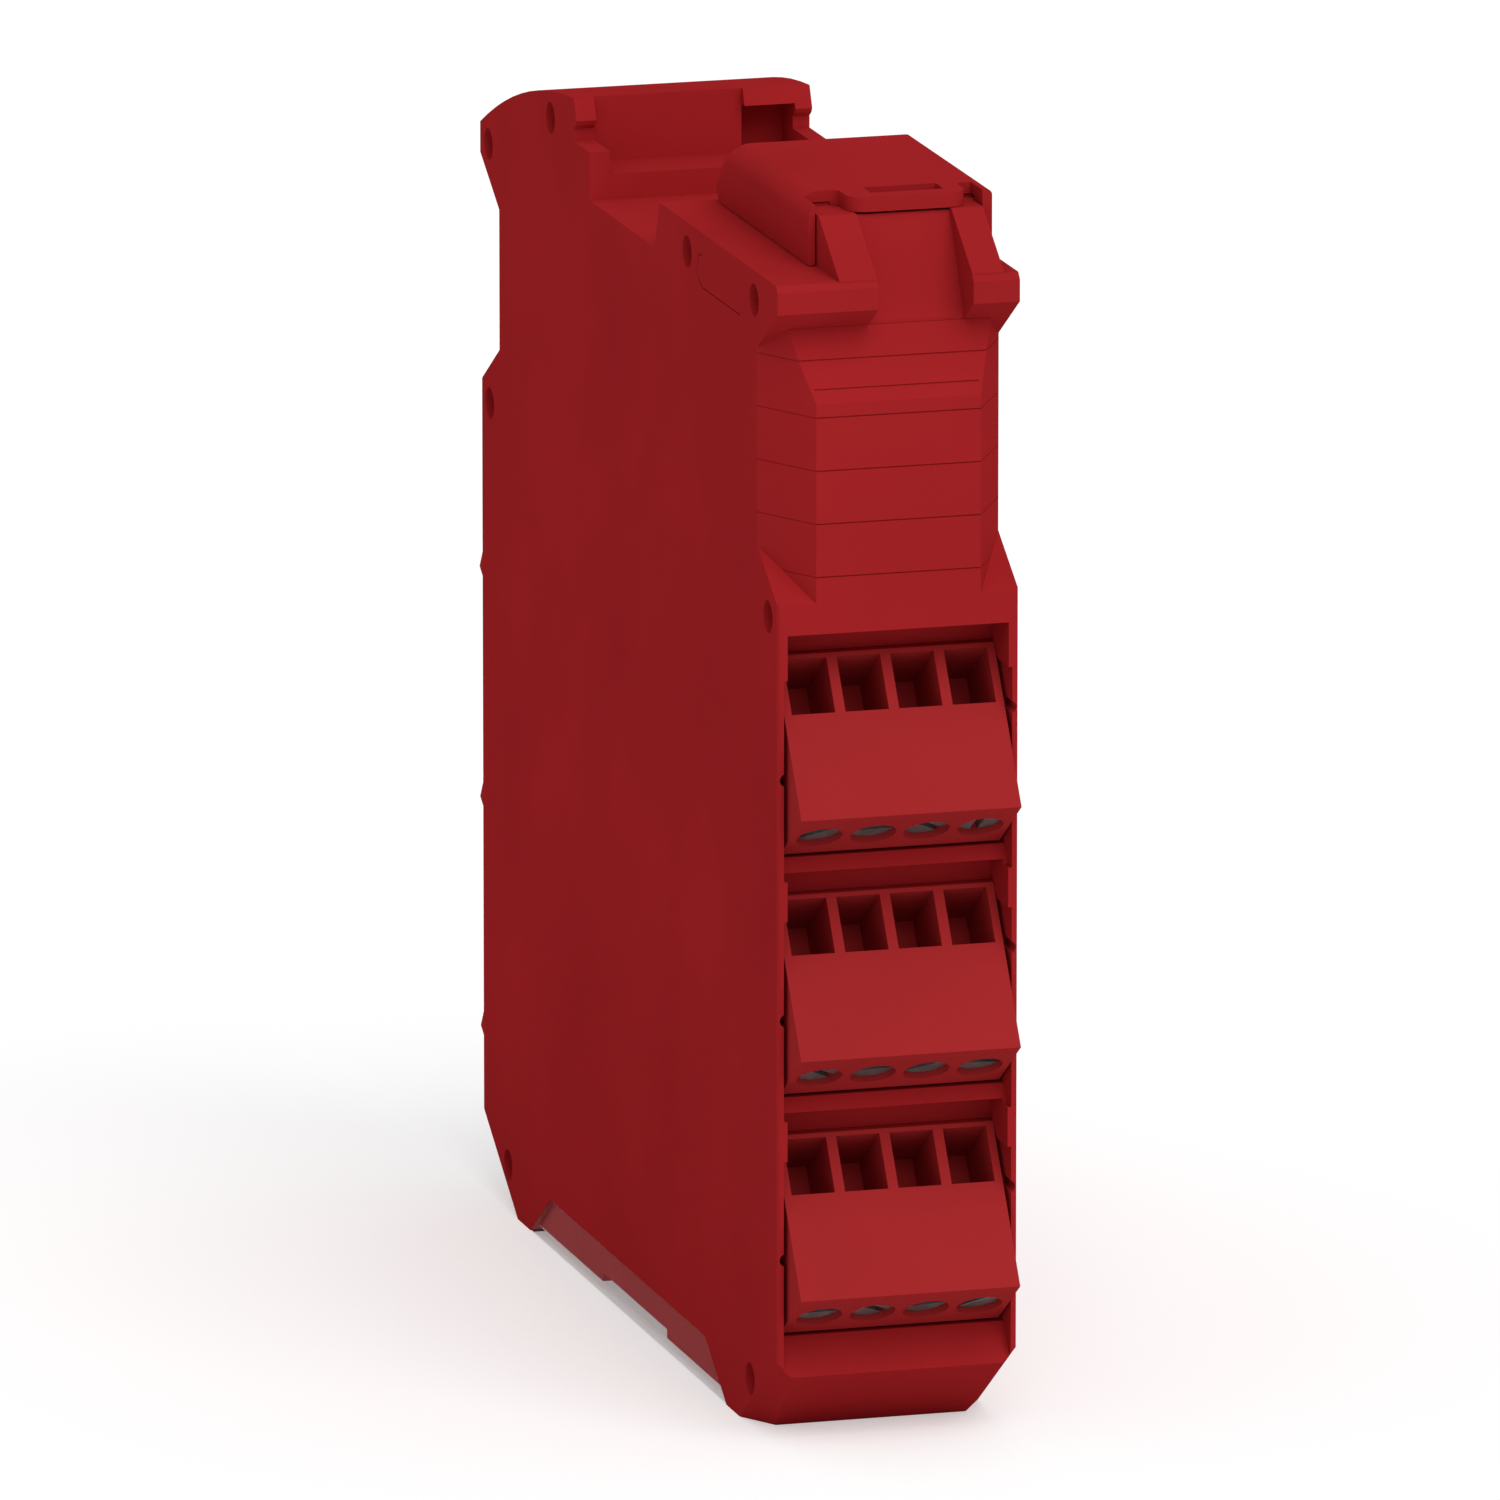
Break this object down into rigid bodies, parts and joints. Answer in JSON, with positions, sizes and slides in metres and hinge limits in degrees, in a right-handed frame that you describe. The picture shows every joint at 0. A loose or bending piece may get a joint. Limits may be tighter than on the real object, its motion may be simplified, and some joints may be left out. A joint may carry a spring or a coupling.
{
  "type": "safety controller module",
  "caption": "Slim red rail-mounted safety controller module with pluggable screw terminal blocks at both ends, sliding rail foot and clear front cover.",
  "frame": {"origin": "centre of the footprint at the front face, on which the module stands as pictured", "axes": "+Z from the front face to the rail side, +Y from the near terminal end to the far one, +X across the width, away from the side cover"},
  "size_m": [0.0226, 0.1086, 0.113],
  "materials": {
    "housing_red": "fine textured moulded plastic, deep red",
    "terminal_red": "fine textured moulded plastic, slightly lighter red",
    "clear_plastic": "clear colourless moulded plastic",
    "screw_steel": "zinc plated, dull grey",
    "clamp_metal": "tin plated, dull",
    "spring_steel": "drawn spring wire",
    "board": "green solder mask",
    "header_plastic": "black moulded plastic",
    "relay_case": "light grey moulded case",
    "converter_case": "black potted case",
    "can": "drawn can",
    "light_pipe": "clear moulded rod",
    "dial": "white moulded plastic"
  },
  "bodies": {
    "housing": {"housing_shell": "housing_red", "side_cover": "housing_red", "foot_spring": "spring_steel", "near_header_1": "header_plastic", "near_header_2": "header_plastic", "near_header_3": "header_plastic", "near_header_pins": "clamp_metal", "near_terminal_board": "board", "far_header_1": "header_plastic", "far_header_2": "header_plastic", "far_header_3": "header_plastic", "far_header_pins": "clamp_metal", "far_terminal_board": "board", "main_board": "board", "front_board": "board", "safety_relay_1": "relay_case", "safety_relay_2": "relay_case", "power_converter": "converter_case", "capacitors": "can", "light_pipes": "light_pipe"},
    "near_plug_1": {"near_plug_1": "terminal_red", "near_clamps_1": "clamp_metal"},
    "near_screw_1_1": {"near_screw_1_1": "screw_steel"},
    "near_screw_1_2": {"near_screw_1_2": "screw_steel"},
    "near_screw_1_3": {"near_screw_1_3": "screw_steel"},
    "near_screw_1_4": {"near_screw_1_4": "screw_steel"},
    "near_plug_2": {"near_plug_2": "terminal_red", "near_clamps_2": "clamp_metal"},
    "near_screw_2_1": {"near_screw_2_1": "screw_steel"},
    "near_screw_2_2": {"near_screw_2_2": "screw_steel"},
    "near_screw_2_3": {"near_screw_2_3": "screw_steel"},
    "near_screw_2_4": {"near_screw_2_4": "screw_steel"},
    "near_plug_3": {"near_plug_3": "terminal_red", "near_clamps_3": "clamp_metal"},
    "near_screw_3_1": {"near_screw_3_1": "screw_steel"},
    "near_screw_3_2": {"near_screw_3_2": "screw_steel"},
    "near_screw_3_3": {"near_screw_3_3": "screw_steel"},
    "near_screw_3_4": {"near_screw_3_4": "screw_steel"},
    "far_plug_1": {"far_plug_1": "terminal_red", "far_clamps_1": "clamp_metal"},
    "far_screw_1_1": {"far_screw_1_1": "screw_steel"},
    "far_screw_1_2": {"far_screw_1_2": "screw_steel"},
    "far_screw_1_3": {"far_screw_1_3": "screw_steel"},
    "far_screw_1_4": {"far_screw_1_4": "screw_steel"},
    "far_plug_2": {"far_plug_2": "terminal_red", "far_clamps_2": "clamp_metal"},
    "far_screw_2_1": {"far_screw_2_1": "screw_steel"},
    "far_screw_2_2": {"far_screw_2_2": "screw_steel"},
    "far_screw_2_3": {"far_screw_2_3": "screw_steel"},
    "far_screw_2_4": {"far_screw_2_4": "screw_steel"},
    "far_plug_3": {"far_plug_3": "terminal_red", "far_clamps_3": "clamp_metal"},
    "far_screw_3_1": {"far_screw_3_1": "screw_steel"},
    "far_screw_3_2": {"far_screw_3_2": "screw_steel"},
    "far_screw_3_3": {"far_screw_3_3": "screw_steel"},
    "far_screw_3_4": {"far_screw_3_4": "screw_steel"},
    "selector_dial_1": {"selector_dial_1": "dial"},
    "selector_dial_2": {"selector_dial_2": "dial"},
    "foot": {"rail_foot": "housing_red"},
    "clear_cover": {"front_cover": "clear_plastic"}
  },
  "joints": [
    {"name": "near_plug_1_pull", "type": "slide", "parent": "housing", "child": "near_plug_1", "axis": [0, -1, 0], "range_m": [0, 0.014]},
    {"name": "near_screw_1_1_turn", "type": "hinge", "parent": "near_plug_1", "child": "near_screw_1_1", "pos_m": [-0.0075, -0.05056, 0.0565], "axis": [0, 0.5548, 0.832], "range_deg": [-720, 720]},
    {"name": "near_screw_1_2_turn", "type": "hinge", "parent": "near_plug_1", "child": "near_screw_1_2", "pos_m": [-0.0025, -0.05056, 0.0565], "axis": [0, 0.5548, 0.832], "range_deg": [-720, 720]},
    {"name": "near_screw_1_3_turn", "type": "hinge", "parent": "near_plug_1", "child": "near_screw_1_3", "pos_m": [0.0025, -0.05056, 0.0565], "axis": [0, 0.5548, 0.832], "range_deg": [-720, 720]},
    {"name": "near_screw_1_4_turn", "type": "hinge", "parent": "near_plug_1", "child": "near_screw_1_4", "pos_m": [0.0075, -0.05056, 0.0565], "axis": [0, 0.5548, 0.832], "range_deg": [-720, 720]},
    {"name": "near_plug_2_pull", "type": "slide", "parent": "housing", "child": "near_plug_2", "axis": [0, -1, 0], "range_m": [0, 0.014]},
    {"name": "near_screw_2_1_turn", "type": "hinge", "parent": "near_plug_2", "child": "near_screw_2_1", "pos_m": [-0.0075, -0.05056, 0.03437], "axis": [0, 0.5548, 0.832], "range_deg": [-720, 720]},
    {"name": "near_screw_2_2_turn", "type": "hinge", "parent": "near_plug_2", "child": "near_screw_2_2", "pos_m": [-0.0025, -0.05056, 0.03437], "axis": [0, 0.5548, 0.832], "range_deg": [-720, 720]},
    {"name": "near_screw_2_3_turn", "type": "hinge", "parent": "near_plug_2", "child": "near_screw_2_3", "pos_m": [0.0025, -0.05056, 0.03437], "axis": [0, 0.5548, 0.832], "range_deg": [-720, 720]},
    {"name": "near_screw_2_4_turn", "type": "hinge", "parent": "near_plug_2", "child": "near_screw_2_4", "pos_m": [0.0075, -0.05056, 0.03437], "axis": [0, 0.5548, 0.832], "range_deg": [-720, 720]},
    {"name": "near_plug_3_pull", "type": "slide", "parent": "housing", "child": "near_plug_3", "axis": [0, -1, 0], "range_m": [0, 0.014]},
    {"name": "near_screw_3_1_turn", "type": "hinge", "parent": "near_plug_3", "child": "near_screw_3_1", "pos_m": [-0.0075, -0.05056, 0.01224], "axis": [0, 0.5548, 0.832], "range_deg": [-720, 720]},
    {"name": "near_screw_3_2_turn", "type": "hinge", "parent": "near_plug_3", "child": "near_screw_3_2", "pos_m": [-0.0025, -0.05056, 0.01224], "axis": [0, 0.5548, 0.832], "range_deg": [-720, 720]},
    {"name": "near_screw_3_3_turn", "type": "hinge", "parent": "near_plug_3", "child": "near_screw_3_3", "pos_m": [0.0025, -0.05056, 0.01224], "axis": [0, 0.5548, 0.832], "range_deg": [-720, 720]},
    {"name": "near_screw_3_4_turn", "type": "hinge", "parent": "near_plug_3", "child": "near_screw_3_4", "pos_m": [0.0075, -0.05056, 0.01224], "axis": [0, 0.5548, 0.832], "range_deg": [-720, 720]},
    {"name": "far_plug_1_pull", "type": "slide", "parent": "housing", "child": "far_plug_1", "axis": [0, 1, 0], "range_m": [0, 0.014]},
    {"name": "far_screw_1_1_turn", "type": "hinge", "parent": "far_plug_1", "child": "far_screw_1_1", "pos_m": [-0.0075, 0.05056, 0.0565], "axis": [0, -0.5548, 0.832], "range_deg": [-720, 720]},
    {"name": "far_screw_1_2_turn", "type": "hinge", "parent": "far_plug_1", "child": "far_screw_1_2", "pos_m": [-0.0025, 0.05056, 0.0565], "axis": [0, -0.5548, 0.832], "range_deg": [-720, 720]},
    {"name": "far_screw_1_3_turn", "type": "hinge", "parent": "far_plug_1", "child": "far_screw_1_3", "pos_m": [0.0025, 0.05056, 0.0565], "axis": [0, -0.5548, 0.832], "range_deg": [-720, 720]},
    {"name": "far_screw_1_4_turn", "type": "hinge", "parent": "far_plug_1", "child": "far_screw_1_4", "pos_m": [0.0075, 0.05056, 0.0565], "axis": [0, -0.5548, 0.832], "range_deg": [-720, 720]},
    {"name": "far_plug_2_pull", "type": "slide", "parent": "housing", "child": "far_plug_2", "axis": [0, 1, 0], "range_m": [0, 0.014]},
    {"name": "far_screw_2_1_turn", "type": "hinge", "parent": "far_plug_2", "child": "far_screw_2_1", "pos_m": [-0.0075, 0.05056, 0.03437], "axis": [0, -0.5548, 0.832], "range_deg": [-720, 720]},
    {"name": "far_screw_2_2_turn", "type": "hinge", "parent": "far_plug_2", "child": "far_screw_2_2", "pos_m": [-0.0025, 0.05056, 0.03437], "axis": [0, -0.5548, 0.832], "range_deg": [-720, 720]},
    {"name": "far_screw_2_3_turn", "type": "hinge", "parent": "far_plug_2", "child": "far_screw_2_3", "pos_m": [0.0025, 0.05056, 0.03437], "axis": [0, -0.5548, 0.832], "range_deg": [-720, 720]},
    {"name": "far_screw_2_4_turn", "type": "hinge", "parent": "far_plug_2", "child": "far_screw_2_4", "pos_m": [0.0075, 0.05056, 0.03437], "axis": [0, -0.5548, 0.832], "range_deg": [-720, 720]},
    {"name": "far_plug_3_pull", "type": "slide", "parent": "housing", "child": "far_plug_3", "axis": [0, 1, 0], "range_m": [0, 0.014]},
    {"name": "far_screw_3_1_turn", "type": "hinge", "parent": "far_plug_3", "child": "far_screw_3_1", "pos_m": [-0.0075, 0.05056, 0.01224], "axis": [0, -0.5548, 0.832], "range_deg": [-720, 720]},
    {"name": "far_screw_3_2_turn", "type": "hinge", "parent": "far_plug_3", "child": "far_screw_3_2", "pos_m": [-0.0025, 0.05056, 0.01224], "axis": [0, -0.5548, 0.832], "range_deg": [-720, 720]},
    {"name": "far_screw_3_3_turn", "type": "hinge", "parent": "far_plug_3", "child": "far_screw_3_3", "pos_m": [0.0025, 0.05056, 0.01224], "axis": [0, -0.5548, 0.832], "range_deg": [-720, 720]},
    {"name": "far_screw_3_4_turn", "type": "hinge", "parent": "far_plug_3", "child": "far_screw_3_4", "pos_m": [0.0075, 0.05056, 0.01224], "axis": [0, -0.5548, 0.832], "range_deg": [-720, 720]},
    {"name": "selector_dial_1_turn", "type": "hinge", "parent": "housing", "child": "selector_dial_1", "pos_m": [0, -0.009, 0.003], "axis": [0, 0, -1], "range_deg": [-150, 150]},
    {"name": "selector_dial_2_turn", "type": "hinge", "parent": "housing", "child": "selector_dial_2", "pos_m": [0, 0.009, 0.003], "axis": [0, 0, -1], "range_deg": [-150, 150]},
    {"name": "foot_slide", "type": "slide", "parent": "housing", "child": "foot", "axis": [0, -1, 0], "range_m": [0, 0.006], "stiffness_N_per_m": 500, "springref_m": -0.006, "deforming": ["foot_spring"]},
    {"name": "cover_pull", "type": "slide", "parent": "housing", "child": "clear_cover", "axis": [0, 0, -1], "range_m": [0, 0.012]}
  ]
}
